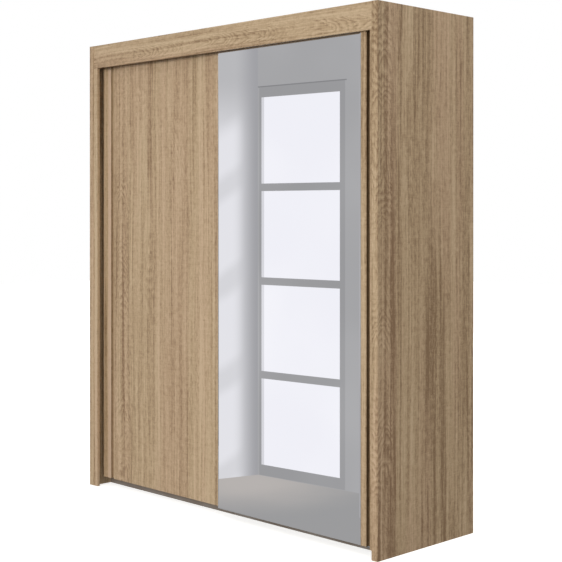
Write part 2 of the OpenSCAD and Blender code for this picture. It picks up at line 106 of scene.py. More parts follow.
def bearing(name, text, degrees):
    return FloatProperty(name=name, description=text, default=math.radians(degrees), subtype="ANGLE")


class WardrobeFinish(bpy.types.PropertyGroup):
    oak_pale: colour("Pale oak", "Lightest tone of the oak decor", tone(206, 182, 148))
    oak_mid: colour("Oak", "Middle tone of the oak decor", tone(184, 158, 124))
    oak_deep: colour("Deep oak", "Darkest streaks of the oak decor", tone(140, 113, 82))
    blush: colour("Blush", "Pinkish tint of some of the oak's bands", (1.0, 0.968, 0.99))
    # Painted highlight: the pale band along each finger groove stands in for light caught by the strip's
    # rounded edge.
    bead_highlight: colour("Bead", "Pale band along the finger grooves", tone(222, 194, 168))
    # Painted shade: this tint darkens the recessed floor of each finger groove.
    groove: colour("Groove", "How the finger grooves are toned down", (0.26, 0.23, 0.18))
    chip_pale: colour("Pale chips", "Lighter chips in a raw board edge", tone(196, 164, 118))
    chip_deep: colour("Deep chips", "Darker chips in a raw board edge", tone(140, 104, 66))
    plinth: colour("Plinth", "Grey-brown decor of the plinth boards", tone(132, 120, 109))
    fibre: colour("Hardboard", "Raw side of the back panels", tone(172, 134, 96))
    silver: colour("Mirror", "Tint of the silvered glass", tone(242, 242, 243))
    alloy: colour("Aluminium", "Tint of the extrusions", tone(196, 197, 199))
    zinc: colour("Zinc", "Tint of the plated steel", tone(186, 190, 194))
    chrome: colour("Chrome", "Tint of the hanging rail", tone(214, 216, 220))
    pale_moulding: colour("Pale plastic", "Rollers and corner blocks", tone(226, 225, 220))
    dark_moulding: colour("Dark plastic", "Buffers, gliders and feet", tone(38, 37, 36))
    pile: colour("Pile", "Brush seal and mounting tape", tone(44, 42, 40))
    edge_round: length("Edge round", "Radius of the boards' edges", 0.0007)
    strip_band: length("Grain band", "Width of the soft tone bands in the oak", 0.085)
    relief: length("Relief", "Depth of the embossed grain", 0.00035)


class WardrobeStudio(bpy.types.PropertyGroup):
    floor_tone: colour("Floor", "Colour of the studio floor", (0.88, 0.88, 0.87))
    floor_span: length("Floor span", "Width of the studio floor", 30.0)
    sky: amount("Fill", "Strength of the light from above", 0.62)
    sky_below: amount("Low fill", "Strength of the light from below", 0.22)
    key_power: watts("Key", "Power of the front light", 365)
    side_power: watts("Side", "Power of the side light", 20)
    rear_power: watts("Rear", "Power of the rear light", 220)
    floor_glow: amount("Floor glow", "How bright the floor is lit", 0.78)
    lens: FloatProperty(name="Lens", description="Focal length in millimetres", default=78.19, min=1)
    eye: FloatVectorProperty(
        name="Camera", description="Place of the camera", default=(3.8614, -3.795, 1.3087), unit="LENGTH"
    )
    turn: bearing("Turn", "The camera's turn about the vertical", 46.294)
    tilt: bearing("Tilt", "The camera's tilt below the horizon", 0.125)
    shift: FloatVectorProperty(
        name="Shift", description="Shift of the lens", size=2, default=(0.0571, -0.1184)
    )
    room_reach: length("Room reach", "Distance from the mirror to the window wall", 4.0)


# Shader maths


class Value:
    """A socket in a sum. Each operator adds a Math node to the socket's material."""

    def __init__(self, net, socket):
        self.net = net
        self.socket = socket

    def sum(self, operation, first, second):
        return self.net.node("ShaderNodeMath", {"operation": operation}, {0: first, 1: second})

    def __add__(self, other):
        return self.sum("ADD", self, other)

    __radd__ = __add__

    def __sub__(self, other):
        return self.sum("SUBTRACT", self, other)

    def __rsub__(self, other):
        return self.sum("SUBTRACT", other, self)

    def __mul__(self, other):
        return self.sum("MULTIPLY", self, other)

    __rmul__ = __mul__

    def __truediv__(self, other):
        return self.sum("DIVIDE", self, other)

    def __rtruediv__(self, other):
        return self.sum("DIVIDE", other, self)

    def __pow__(self, other):
        return self.sum("POWER", self, other)

    def __rpow__(self, other):
        return self.sum("POWER", other, self)

    def least(self, other):
        return self.sum("MINIMUM", self, other)

    def most(self, other):
        return self.sum("MAXIMUM", self, other)


class Net:
    """A node tree in the making."""

    def __init__(self, tree):
        self.tree = tree

    def node(self, kind, settings=None, sockets=None, out=0):
        """Any node: its settings come first, then the values or links of its sockets."""
        made = self.tree.nodes.new(kind)
        for key, value in (settings or {}).items():
            if key == "stops":
                ramp = made.color_ramp.elements
                while len(ramp) < len(value):
                    ramp.new(0.5)
                for stop, (place, shade) in zip(ramp, value):
                    stop.position = place
                    stop.color = (*shade, 1)
            else:
                setattr(made, key, value)
        for key, value in (sockets or {}).items():
            self.feed(made.inputs[key], value)
        return Value(self, made.outputs[out]) if made.outputs else None

    def feed(self, socket, value):
        if isinstance(value, Value):
            self.tree.links.new(value.socket, socket)
        elif socket.type == "RGBA":
            socket.default_value = (*tuple(value)[:3], 1)
        else:
            socket.default_value = value

    def place(self):
        """Where a point is in its object, which is in metres."""
        return self.node("ShaderNodeTexCoord", out="Object")

    def facing(self):
        """The surface's own direction, as three values."""
        normal = self.node("ShaderNodeNewGeometry", out="True Normal")
        return self.split(normal)

    def split(self, vector):
        made = self.node("ShaderNodeSeparateXYZ", sockets={0: vector}).socket.node
        return [Value(self, made.outputs[i]) for i in range(3)]

    def join(self, x, y, z):
        return self.node("ShaderNodeCombineXYZ", sockets={0: x, 1: y, 2: z})

    def scaled(self, vector, by):
        return self.node("ShaderNodeVectorMath", {"operation": "MULTIPLY"}, {0: vector, 1: by})

    def moved(self, vector, by):
        return self.node("ShaderNodeVectorMath", {"operation": "ADD"}, {0: vector, 1: by})

    def noise(self, vector, detail=2.0, rough=0.5, bend=0.0):
        sockets = {"Vector": vector, "Scale": 1.0, "Detail": detail}
        sockets.update({"Roughness": rough, "Distortion": bend})
        return self.node("ShaderNodeTexNoise", sockets=sockets)

    def mixed(self, factor, first, second):
        """A number between two others."""
        return first + (second - first) * factor

    def step(self, value, low, high, first=0.0, last=1.0):
        """A smooth rise from first to last as value goes from low to high."""
        sockets = {"Value": value, "From Min": low, "From Max": high, "To Min": first, "To Max": last}
        return self.node("ShaderNodeMapRange", {"interpolation_type": "SMOOTHSTEP"}, sockets)

    def blend(self, factor, first, second, mode="MIX"):
        settings = {"data_type": "RGBA", "blend_type": mode, "clamp_factor": True}
        return self.node("ShaderNodeMix", settings, {0: factor, 6: first, 7: second}, out=2)


class Finish(Net):
    """A material in the making: a Principled surface and the nodes that feed it."""

    def __init__(self, name):
        self.material = bpy.data.materials.new(name)
        self.material.use_nodes = True
        super().__init__(self.material.node_tree)
        self.surface = self.tree.nodes["Principled BSDF"]

    def oak_tones(self, level, look):
        """The oak's colours from 0, the deepest, to 1, the palest."""
        stops = [(0.0, look.oak_deep), (0.5, look.oak_mid), (1.0, look.oak_pale)]
        return self.node("ShaderNodeValToRGB", {"stops": stops}, {0: level})

    def bump(self, height, depth, strength=1.0):
        sockets = {"Height": height, "Distance": depth, "Strength": strength}
        self.feed(self.surface.inputs["Normal"], self.node("ShaderNodeBump", sockets=sockets))

    def set(self, **values):
        """Sockets of the surface by name, with spaces written as underscores."""
        for key, value in values.items():
            self.feed(self.surface.inputs[key.replace("_", " ")], value)
        return self.material


def near_edge(net, low, high):
    """Distance from a box's nearest edge line, where two of its faces meet."""
    parts = net.split(net.place())
    across, along, up = [
        (value - low[i]).least((value - high[i]) * -1) for i, value in enumerate(parts)
    ]
    return across.least(along).most(across.most(along).least(up))


# Finishes


def oak(look, node, grain="Z", raw=(), heart=None, groove=None, painted_shade=0.0):
    """Light oak decor for one board. The grain runs along one axis, and raw names the sides that
    show the board's core: each is an axis and a sign. heart is where the middle of the flat sawn
    figure lies across the board, from 0 to 1. groove is where a finger groove starts and ends,
    measured from the board's left edge, how strongly painted shade darkens its recessed floor and
    how strong the painted highlight on the pale band beside it is. The last argument lowers the
    tone of the whole board, as painted shade. Each noise is scaled by how often it repeats in a
    metre: twice across the grain, then along it."""
    net = Finish("oak_" + node)
    low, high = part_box(node)
    order = {"Z": (0, 1, 2), "X": (2, 1, 0), "Y": (0, 2, 1)}[grain]
    parts = net.split(net.place())
    seed = sum(ord(letter) * (i + 1) for i, letter in enumerate(node)) % 97
    lengthwise = net.join(parts[order[0]], parts[order[1]], parts[order[2]])
    wood = net.moved(lengthwise, (seed * 1.37, seed * 0.61, seed * 2.13))
    sway = net.noise(net.scaled(wood, (3.0, 3.0, 1.1)), detail=1.0)
    bent = net.moved(wood, net.join((sway - 0.5) * 0.035, (sway - 0.5) * 0.02, 0.0))
    band_rate = 1 / look.strip_band
    band = net.noise(net.scaled(bent, (band_rate, band_rate, 0.3)), detail=2.0, rough=0.55)
    stripe = net.noise(net.scaled(bent, (40.0, 40.0, 0.5)), detail=4.0, rough=0.85)
    fleck = net.noise(net.scaled(bent, (95.0, 95.0, 42.0)), detail=3.0, rough=0.75, bend=0.5)
    pore = net.noise(net.scaled(wood, (620.0, 620.0, 26.0)), detail=2.0, rough=0.5)
    saw = net.noise(net.scaled(wood, (20.0, 20.0, 190.0)), detail=3.0, rough=0.62)

    # Thin dark lines along the grain, in groups
    thread = net.noise(net.scaled(bent, (62.0, 62.0, 1.1)), detail=2.0, rough=0.65)
    group = net.step(net.noise(net.scaled(wood, (11.0, 11.0, 1.1)), detail=2.0), 0.42, 0.60, 0.25, 1.0)
    shine = net.step(thread, 0.30, 0.44, 1.0, 0.0)
    thread = net.step(thread, 0.54, 0.63) * group

    # Nested arches: contour lines of a long soft field, kept to a few places
    field = net.noise(net.scaled(bent, (8.5, 8.5, 1.5)), detail=1.0, rough=0.4, bend=0.3) * 24.0
    zone = net.step(net.noise(net.scaled(wood, (5.5, 5.5, 1.3)), detail=1.0), 0.54, 0.66) * 0.6
    if heart is not None:
        side = max(order[:2], key=lambda axis: high[axis] - low[axis])
        half = min(0.075, (high[side] - low[side]) * 0.45)
        middle = low[side] + (high[side] - low[side]) * heart
        off = (parts[side] + (sway - 0.5) * 0.05 - middle) / half
        ripple = net.noise(net.scaled(wood, (12, 12, 5)))
        peak = off * off * 4.2 + parts[order[2]] * 26.0 + (ripple - 0.5) * 9.0
        near = net.step(off.most(off * -1), 0.55, 1.0, 1.0, 0.0)
        field = net.mixed(near, field, peak)
        runs = net.step(net.noise(net.scaled(wood, (1.0, 1.0, 2.6)), detail=1.0), 0.42, 0.52, 0.35, 1.0)
        zone = zone.most(near * runs)
    ragged = field + (fleck - 0.5) * 1.1
    rings = net.node("ShaderNodeMath", {"operation": "PINGPONG"}, {0: ragged, 1: 0.5}) * 2
    arches = net.step(rings, 0.05, 0.55, 1.0, 0.0) * zone
    glints = net.step(rings, 0.72, 0.98) * zone

    # Knots: small dark ovals, few and far between
    cells = {"voronoi_dimensions": "3D", "feature": "F1"}
    knot_place = {"Vector": net.scaled(bent, (4.0, 4.0, 1.5)), "Scale": 1.0, "Randomness": 1.0}
    knot_gap = net.node("ShaderNodeTexVoronoi", cells, knot_place, out="Distance")
    knot = net.step(knot_gap, 0.02, 0.06, 1.0, 0.0)

    # The level is lowered on some boards as painted shade.
    level = 0.65 - painted_shade + (band - 0.5) * 0.85 + (stripe - 0.5) * 2.6 + (fleck - 0.5) * 1.35
    level = level + (saw - 0.5) * 0.50 + glints * 0.20 + shine * 0.18
    level = level - arches * 0.30 - thread * 0.30 - knot * 0.20 - net.step(pore, 0.58, 0.74) * 0.12
    tones = net.oak_tones(level, look)
    warm = net.noise(net.scaled(bent, (9.0, 9.0, 0.4)), detail=2.0)
    tones = net.blend(net.step(warm, 0.42, 0.62), tones, look.blush, "MULTIPLY")
    # Painted highlight on the pale band beside the finger groove, and painted shade on the groove's
    # recessed floor.
    if groove is not None:
        start, end, groove_shade_strength, pale = groove
        start, end = low.x + start, low.x + end
        behind = net.step(parts[1], low.y + 0.0010, low.y + 0.0040)
        bead_highlight = net.step(parts[0], start - 0.024, start - 0.020)
        bead_highlight = bead_highlight * net.step(parts[0], start, start + 0.001, 1.0, 0.0) * (1 - behind)
        tones = net.blend(bead_highlight * pale, tones, look.bead_highlight)
        groove_shade_span = net.step(parts[0], start - 0.0015, start - 0.0005)
        groove_shade_span = groove_shade_span * net.step(parts[0], end + 0.0005, end + 0.0015, 1.0, 0.0)
        tones = net.blend(groove_shade_span * behind * groove_shade_strength, tones, look.groove, "MULTIPLY")
    worn = net.step(near_edge(net, low, high), 0.0004, 0.0022, 1.0, 0.0)
    scuff = net.noise(net.scaled(wood, (60.0, 60.0, 60.0)), detail=2.0)
    worn = worn * net.step(scuff, 0.40, 0.72) * 0.45
    tones = net.blend(worn, tones, look.oak_pale)
    rough = 0.50 + (fleck - 0.5) * 0.30 + worn * 0.25 - arches * 0.06
    height = fleck * 0.5 - net.step(pore, 0.56, 0.74) * 0.8 + saw * 0.5 - arches * 0.35

    if raw:
        facing = net.facing()
        masks = [net.step(facing["XYZ".index(axis)] * sign, 0.80, 0.95) for axis, sign in raw]
        bare = masks[0]
        for mask in masks[1:]:
            bare = bare.most(mask)
        flakes = net.node(
            "ShaderNodeTexVoronoi", {"feature": "F1"},
            {"Vector": net.scaled(wood, (1.0, 1.0, 1.0)), "Scale": 420.0}, out="Color",
        )
        flake = net.split(flakes)[0]
        core = net.blend(flake, look.chip_deep, look.chip_pale)
        tones = net.blend(bare, tones, core)
        rough = rough + bare * 0.32
        height = height * (1 - bare) + flake * bare * 1.4
    net.bump(height, look.relief, 0.75)
    return net.set(Base_Color=tones, Roughness=rough, Specular_IOR_Level=0.38)


def plinth_decor(look, node):
    """Grey-brown decor with fine long streaks, dusty towards the floor."""
    net = Finish("decor_" + node)
    place = net.place()
    streak = net.noise(net.scaled(place, (2.0, 150.0, 150.0)), detail=3.0)
    cloud = net.noise(net.scaled(place, (5.0, 20.0, 20.0)), detail=2.0)
    shade = net.blend((streak + cloud) * 0.5, times(look.plinth, 0.72), times(look.plinth, 1.3))
    dust = net.step(net.split(place)[2], 0.0, 0.03, 0.35, 0.0) * net.step(cloud, 0.4, 0.65)
    shade = net.blend(dust, shade, (0.42, 0.40, 0.37))
    net.bump(streak, look.relief, 0.5)
    return net.set(Base_Color=shade, Roughness=0.55 + (streak - 0.5) * 0.2, Specular_IOR_Level=0.35)


def hardboard(look, node):
    """Thin back panel: oak print towards the room and raw brown fibre behind."""
    net = Finish("hardboard_" + node)
    place = net.place()
    streak = net.noise(net.scaled(place, (90.0, 90.0, 1.4)), detail=3.0)
    band = net.noise(net.scaled(place, (11.0, 11.0, 0.5)), detail=2.0)
    level = 0.5 + (streak - 0.5) * 1.1 + (band - 0.5) * 0.8
    printed = net.oak_tones(level, look)
    fibres = net.noise(net.scaled(place, (520.0, 520.0, 470.0)), detail=4.0, rough=0.7)
    blotch = net.noise(net.scaled(place, (6.0, 6.0, 5.0)), detail=3.0)
    rawness = (fibres - 0.5) * 0.9 + (blotch - 0.5) * 0.7 + 0.5
    bare = net.blend(rawness, times(look.fibre, 0.62), times(look.fibre, 1.35))
    behind = net.step(net.facing()[1], 0.2, 0.6)
    net.bump(fibres * behind * 1.5 + streak * 0.4, 0.00025, 1.0)
    return net.set(
        Base_Color=net.blend(behind, printed, bare),
        Roughness=0.52 + behind * 0.33 + (fibres - 0.5) * 0.12,
        Specular_IOR_Level=0.3,
    )


def silvered_glass(look):
    """Mirror glass: a metal sheen behind clear glass, with faint wiping marks."""
    net = Finish("silvered_glass")
    place = net.place()
    wipe = net.noise(net.scaled(place, (9.0, 9.0, 2.2)), detail=4.0, rough=0.6, bend=0.8)
    dust = net.noise(net.scaled(place, (900.0, 900.0, 900.0)), detail=1.0)
    tint = net.blend(net.step(wipe, 0.45, 0.75) * 0.04, look.silver, (0.82, 0.82, 0.83))
    rough = 0.006 + net.step(wipe, 0.5, 0.8) * 0.012 + net.step(dust, 0.72, 0.8) * 0.05
    return net.set(Base_Color=tint, Metallic=1.0, Roughness=rough)


def drawn_metal(name, tint, rough, lines, along, cloud=0.10):
    """Metal with fine lines along one axis, such as an extrusion or a drawn tube."""
    net = Finish(name)
    place = net.place()
    stretch = [lines] * 3
    stretch["XYZ".index(along)] = 3.0
    line = net.noise(net.scaled(place, tuple(stretch)), detail=3.0)
    blotch = net.noise(net.scaled(place, (28.0, 28.0, 28.0)), detail=3.0)
    shade = net.blend(0.25 + (blotch - 0.5) * 1.2, tint, times(tint, 0.78))
    shade = net.blend(net.step(line, 0.55, 0.75) * 0.25, shade, times(tint, 1.15))
    net.bump(line, 0.00004, 0.5)
    return net.set(
        Base_Color=shade, Metallic=1.0, Roughness=rough + (line - 0.5) * cloud + (blotch - 0.5) * cloud
    )


def plated_steel(look, name="zinc_plate"):
    """Zinc plate: a soft spangle of slightly different greys with a little blue."""
    net = Finish(name)
    place = net.place()
    grains = {"Vector": place, "Scale": 260.0}
    spangle = net.split(net.node("ShaderNodeTexVoronoi", {"feature": "F1"}, grains, out="Color"))[0]
    haze = net.noise(net.scaled(place, (40.0, 40.0, 40.0)), detail=3.0)
    shade = net.blend(spangle * 0.55, look.zinc, times(look.zinc, 0.72))
    shade = net.blend(net.step(haze, 0.5, 0.7) * 0.3, shade, (0.60, 0.58, 0.50))
    net.bump(haze, 0.00005, 0.4)
    return net.set(Base_Color=shade, Metallic=1.0, Roughness=0.34 + spangle * 0.10 + (haze - 0.5) * 0.12)


def moulded(name, tint, rough, grit=900.0):
    """Moulded plastic with a fine spark texture and faint cloudiness."""
    net = Finish(name)
    place = net.place()
    spark = net.noise(net.scaled(place, (grit, grit, grit)), detail=2.0)
    cloud = net.noise(net.scaled(place, (22.0, 22.0, 22.0)), detail=3.0)
    rub = net.noise(net.scaled(place, (70.0, 70.0, 260.0)), detail=3.0)
    shade = net.blend(cloud, times(tint, 0.86), times(tint, 1.10))
    net.bump(spark, 0.00006, 0.6)
    return net.set(
        Base_Color=shade, Roughness=rough + (spark - 0.5) * 0.10 - net.step(rub, 0.58, 0.72) * 0.10
    )


def turned_beech(look):
    net = Finish("turned_beech")
    place = net.place()
    fleck = net.noise(net.scaled(place, (420.0, 420.0, 90.0)), detail=3.0)
    net.bump(fleck, 0.0001, 0.6)
    shade = net.blend(fleck, look.oak_mid, times(look.oak_pale, 1.15))
    return net.set(Base_Color=shade, Roughness=0.6 + (fleck - 0.5) * 0.2)


def soft_pile(look):
    net = Finish("soft_pile")
    place = net.place()
    strand = net.noise(net.scaled(place, (1500.0, 260.0, 1500.0)), detail=2.0)
    clump = net.noise(net.scaled(place, (60.0, 60.0, 90.0)), detail=2.0)
    shade = net.blend((strand + clump) * 0.5, times(look.pile, 0.4), times(look.pile, 2.2))
    net.bump(strand, 0.0003, 0.9)
    return net.set(Base_Color=shade, Roughness=0.88 + (clump - 0.5) * 0.1, Sheen_Weight=0.25)


# Geometry helpers


def wear(node, material):
    """Gives a CAD node its finish."""
    mesh = NODES[node].data
    mesh.materials.clear()
    mesh.materials.append(material)


def ease_edges(node, radius):
    """Rounds a board's sharp edges by a fraction of a millimetre."""
    thing = NODES[node]
    weld = thing.modifiers.new("weld", "WELD")
    weld.merge_threshold = 0.00001
    ease = thing.modifiers.new("ease", "BEVEL")
    ease.width = radius
    ease.segments = 2
    ease.limit_method = "ANGLE"
    ease.angle_limit = math.radians(50)
    ease.use_clamp_overlap = False
    ease.harden_normals = False


def solids(node):
    """The separate solids of a CAD node, each as its lowest and highest corner."""
    shape = bmesh.new()
    shape.from_mesh(NODES[node].data)
    bmesh.ops.remove_doubles(shape, verts=shape.verts, dist=0.000005)
    seen = set()
    found = []
    for start in shape.verts:
        if start.index in seen:
            continue
        island = []
        reach = [start]
        seen.add(start.index)
        while reach:
            vert = reach.pop()
            island.append(vert.co.copy())
            for edge in vert.link_edges:
                other = edge.other_vert(vert)
                if other.index not in seen:
                    seen.add(other.index)
                    reach.append(other)
        low = Vector(min(p[i] for p in island) for i in range(3))
        high = Vector(max(p[i] for p in island) for i in range(3))
        found.append((low, high))
    shape.free()
    return sorted(found, key=lambda pair: tuple(round(c, 5) for c in pair[0]))


def piece(name, shape, material, node, smooth=True):
    """A finished mesh object in the part's frame that stands for a node or rides beside it."""
    mesh = bpy.data.meshes.new(name)
    bmesh.ops.recalc_face_normals(shape, faces=shape.faces)
    shape.to_mesh(mesh)
    shape.free()
    thing = bpy.data.objects.new(name, mesh)
    bpy.context.scene.collection.objects.link(thing)
    mesh.materials.append(material)
    if smooth:
        mesh.shade_smooth()
        mesh.set_sharp_from_angle(angle=math.radians(35))
    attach(thing, BODIES[node])
    return thing


def ring(shape, turn, radius, height, sides):
    """Vertices round an axis at one height. turn places the axis."""
    points = []
    for i in range(sides):
        angle = 2 * math.pi * i / sides
        spot = Vector((radius * math.cos(angle), radius * math.sin(angle), height))
        points.append(shape.verts.new(turn @ spot))
    return points


def bridge(shape, first, second):
    count = len(first)
    for i in range(count):
        j = (i + 1) % count
        shape.faces.new((first[i], first[j], second[j], second[i]))


def skin(shape, loops):
    """A closed solid through loops of vertices, with both ends capped."""
    for first, second in zip(loops, loops[1:]):
        bridge(shape, first, second)
    shape.faces.new(loops[0])
    shape.faces.new(loops[-1])


def turned(shape, turn, profile, sides=24):
    """A closed turned solid from pairs of radius and height."""
    skin(shape, [ring(shape, turn, radius, height, sides) for radius, height in profile])


def hollow(shape, turn, profile, sides=40):
    """A turned ring: the profile closes on itself."""
    loops = [ring(shape, turn, radius, height, sides) for radius, height in profile]
    for first, second in zip(loops, loops[1:] + loops[:1]):
        bridge(shape, first, second)


def block(shape, low, high):
    """A plain box between two corners."""
    foot = [(low.x, low.y), (high.x, low.y), (high.x, high.y), (low.x, high.y)]
    skin(shape, [[shape.verts.new((x, y, z)) for x, y in foot] for z in (low.z, high.z)])


def axis_turn(origin, direction):
    """A matrix that stands the Z axis at a point, along a direction."""
    turn = Vector((0, 0, 1)).rotation_difference(direction)
    return Matrix.Translation(origin) @ turn.to_matrix().to_4x4()


def cross_ring(shape, turn, arm, half, height):
    """Vertices round a cross with four square ends, in the same order as a ring of 24."""
    middle = (arm + half) / 2
    quarter = [(arm, 0), (arm, half), (middle, half), (half, half), (half, middle), (half, arm)]
    points = []
    for i in range(4):
        spin = turn @ Matrix.Rotation(i * math.pi / 2, 4, "Z")
        points += [shape.verts.new(spin @ Vector((x, y, height))) for x, y in quarter]
    return points


def crossed_screw(shape, base, direction, shank, head_r, head_t):
    """A pan head screw with a cross recess. base is where the head meets the plate."""
    turn = axis_turn(base, direction)
    shank_r = head_r * 0.48
    profile = [
        (shank_r * 0.1, -shank), (shank_r * 0.8, -shank + shank_r * 2), (shank_r, -shank + shank_r * 3),
        (shank_r, 0.0), (head_r * 0.94, 0.0), (head_r, head_t * 0.2), (head_r, head_t * 0.45),
        (head_r * 0.9, head_t * 0.75), (head_r * 0.74, head_t * 0.93), (head_r * 0.62, head_t),
    ]
    loops = [ring(shape, turn, radius, height, 24) for radius, height in profile]
    loops.append(cross_ring(shape, turn, head_r * 0.5, head_r * 0.12, head_t))
    loops.append(cross_ring(shape, turn, head_r * 0.3, head_r * 0.08, head_t * 0.35))
    skin(shape, loops)


def domed_nail(shape, base, direction, shank, head_r, head_t):
    """A wire nail with a low domed head."""
    turn = axis_turn(base, direction)
    shank_r = head_r * 0.44
    turned(shape, turn, [
        (shank_r * 0.1, -shank), (shank_r, -shank + shank_r * 3), (shank_r, 0.0), (head_r * 0.95, 0.0),
        (head_r, head_t * 0.25), (head_r * 0.88, head_t * 0.7), (head_r * 0.5, head_t * 0.96),
        (head_r * 0.1, head_t),
    ], sides=16)


def drive(name, node, material, axis, head_t, make):
    """Replaces a node's plain fixings by detailed ones. axis points from each shank to its head."""
    shape = bmesh.new()
    way = Vector(axis)
    lane = [abs(c) > 0.5 for c in way].index(True)
    flat = (lane + 1) % 3
    for low, high in solids(node):
        middle = (low + high) / 2
        top = high[lane] if way[lane] > 0 else low[lane]
        base = middle.copy()
        base[lane] = top - way[lane] * head_t
        head_r = (high[flat] - low[flat]) / 2
        make(shape, base, way, (high[lane] - low[lane]) - head_t, head_r, head_t)
    thing = piece(name, shape, material, node)
    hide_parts(node)
    return thing


# Operators


class WARDROBE_OT_boards(bpy.types.Operator):
    """Gives every board its oak decor and eased edges"""

    bl_idname = "wardrobe.boards"
    bl_label = "Boards"

    def execute(self, context):
        look = context.scene.wardrobe_finish
        rear = (("Y", 1),)
        foot = (("Z", -1),)
        plans = {
            "left_side_panel": ("Z", rear + foot, 0.80),
            "right_side_panel": ("Z", rear + foot, 0.07),
            "top_panel": ("X", rear, None),
            "base_panel": ("X", rear, None),
            "centre_partition": ("Z", rear + foot, None),
            "rear_fixing_rail": ("X", foot, None),
            "cornice": ("X", (), 0.35),
            "left_closing_strip": ("Z", foot, None),
            "right_closing_strip": ("Z", foot, None),
            "hat_shelf_left": ("X", rear, None),
            "hat_shelf_right": ("X", rear, None),
            "shelf_1": ("X", rear, None),
            "shelf_2": ("X", rear, None),
            "shelf_3": ("X", rear, None),
            "door_panel": ("Z", (), 0.09),
            "door_handle_strip": ("Z", (), None),
            "mirror_board": ("Z", (), 0.6),
            "mirror_handle_strip": ("Z", (), None),
        }
        # For each finger groove: where it starts and ends, how strong the painted shade on its floor is
        # and how strong the painted highlight beside it is. The mirror door's groove gets more painted
        # shade, for the shade of the right side panel.
        groove_shade_and_highlight = {
            "door_handle_strip": (0.060, 0.082, 0.22, 0.65),
            "mirror_handle_strip": (0.029, 0.051, 0.85, 0.0),
        }
        # Painted shade that darkens the boards at the right end.
        painted_shade = {"mirror_handle_strip": 0.20, "right_side_panel": 0.20, "right_closing_strip": 0.15}
        for node, (grain, raw, heart) in plans.items():
            wear(node, oak(look, node, grain, raw, heart, groove_shade_and_highlight.get(node), painted_shade.get(node, 0.0)))
            ease_edges(node, look.edge_round)
        for node in ("plinth_front", "plinth_rear"):
            wear(node, plinth_decor(look, node))
            ease_edges(node, look.edge_round)
        for node in ("back_panel_left", "back_panel_right", "back_joint_strip"):
            wear(node, hardboard(look, node))
        beech = turned_beech(look)
        for node in ("cornice_dowels", "partition_dowels"):
            wear(node, beech)
        return {"FINISHED"}


class WARDROBE_OT_mirror(bpy.types.Operator):
    """Silvers the glass and colours the tape behind it"""

    bl_idname = "wardrobe.mirror"
    bl_label = "Mirror"

    def execute(self, context):
        look = context.scene.wardrobe_finish
        wear("mirror_glass", silvered_glass(look))
        wear("mirror_tape", soft_pile(look))
        return {"FINISHED"}


class WARDROBE_OT_metalwork(bpy.types.Operator):
    """Finishes the track, guide rail, hangers, brackets, pins and hanging rail"""

    bl_idname = "wardrobe.metalwork"
    bl_label = "Metalwork"

    def execute(self, context):
        look = context.scene.wardrobe_finish
        alloy = drawn_metal("satin_aluminium", look.alloy, 0.36, 700.0, "X")
        chrome = drawn_metal("chromed_tube", look.chrome, 0.12, 500.0, "X", cloud=0.04)
        zinc = plated_steel(look)
        finishes = {"aluminium": alloy, "chrome": chrome, "zinc_steel": zinc}
        for node, slot in SLOTS.items():
            if slot in finishes:
                wear(node, finishes[slot])
        return {"FINISHED"}


class WARDROBE_OT_plastics(bpy.types.Operator):
    """Finishes the rollers, blocks, buffers, gliders and feet"""

    bl_idname = "wardrobe.plastics"
    bl_label = "Plastics"

    def execute(self, context):
        look = context.scene.wardrobe_finish
        pale = moulded("pale_moulding", look.pale_moulding, 0.42)
        dark = moulded("dark_moulding", look.dark_moulding, 0.55)
        for node, slot in SLOTS.items():
            if slot == "pale_plastic":
                wear(node, pale)
            if slot == "dark_plastic":
                wear(node, dark)
        return {"FINISHED"}


class WARDROBE_OT_screws(bpy.types.Operator):
    """Makes the screws with cross recesses and the nails with domed heads"""

    bl_idname = "wardrobe.screws"
    bl_label = "Screws and nails"

    def execute(self, context):
        look = context.scene.wardrobe_finish
        zinc = plated_steel(look, "screw_zinc")
        back = (0, 1, 0)
        down = (0, 0, -1)
        drive("timber_door_screws", "door_screws", zinc, back, SCREW_HEAD, crossed_screw)
        drive("mirror_door_screws", "mirror_screws", zinc, back, SCREW_HEAD, crossed_screw)
        drive("top_track_screws", "track_screws", zinc, down, SCREW_HEAD, crossed_screw)
        drive("guide_screws", "guide_rail_screws", zinc, down, SCREW_HEAD, crossed_screw)
        drive("back_panel_nails", "back_nails", zinc, back, NAIL_HEAD, domed_nail)
        self.socket_screws(zinc)
        return {"FINISHED"}

    def socket_screws(self, material):
        """Two small screws through the rim of each hanging rail socket."""
        shape = bmesh.new()
        head_r = 0.0016
        head_t = 0.0008
        for (low, high), way in zip(solids("rail_sockets"), (1, -1)):
            face = low.x + SOCKET_PLATE if way > 0 else high.x - SOCKET_PLATE
            middle = (low.y + high.y) / 2
            for z in (low.z + head_r * 1.3, high.z - head_r * 1.3):
                crossed_screw(shape, Vector((face, middle, z)), Vector((way, 0, 0)), 0.012, head_r, head_t)
        piece("rail_socket_screws", shape, material, "rail_sockets")


